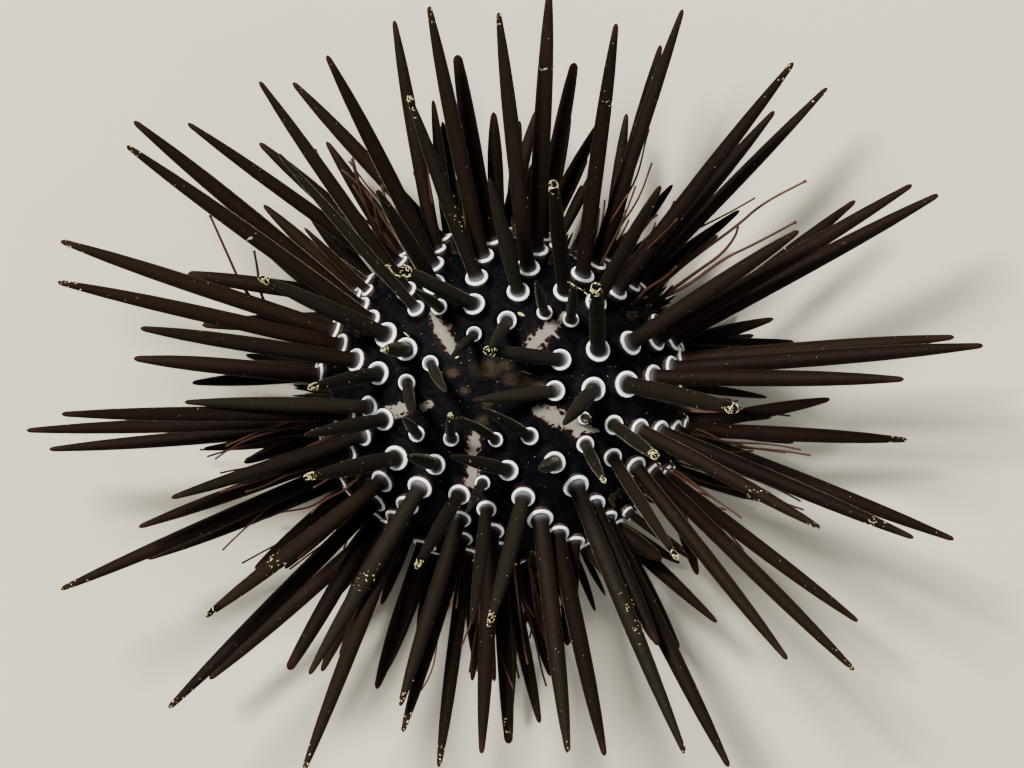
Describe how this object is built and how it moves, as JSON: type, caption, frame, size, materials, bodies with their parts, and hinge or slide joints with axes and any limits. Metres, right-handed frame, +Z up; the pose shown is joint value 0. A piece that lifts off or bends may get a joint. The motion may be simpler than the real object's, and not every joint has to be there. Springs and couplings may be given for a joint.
{
  "type": "white-ringed rock-boring sea urchin, life-size still model",
  "caption": "Life-size sea urchin with dark tapering spines, a white ring at each spine's root and an oval test, standing on its short underside spines.",
  "frame": {"origin": "on the floor, under the middle of the box round the whole animal", "axes": "+Z up; +X to the right of the picture, along the longer side of the oval test; +Y to the top of the picture"},
  "size_m": [0.1134, 0.0926, 0.0438],
  "materials": {
    "spined_test": "matt blackish brown skin on the test, satin brown-black spines with a bright white ring at the root",
    "apical_disc": "blackish, with small brown-grey plates round the middle",
    "peristome": "soft dark red-brown mouth skin",
    "teeth": "off-white, smooth"
  },
  "bodies": {
    "root": {"interambulacrum_back": "spined_test", "ambulacrum_back_right": "spined_test", "interambulacrum_right": "spined_test", "ambulacrum_right": "spined_test", "interambulacrum_front_right": "spined_test", "ambulacrum_front": "spined_test", "interambulacrum_front_left": "spined_test", "ambulacrum_left": "spined_test", "interambulacrum_left": "spined_test", "ambulacrum_back_left": "spined_test", "apical_disc": "apical_disc", "peristome": "peristome", "teeth": "teeth"}
  },
  "joints": []
}
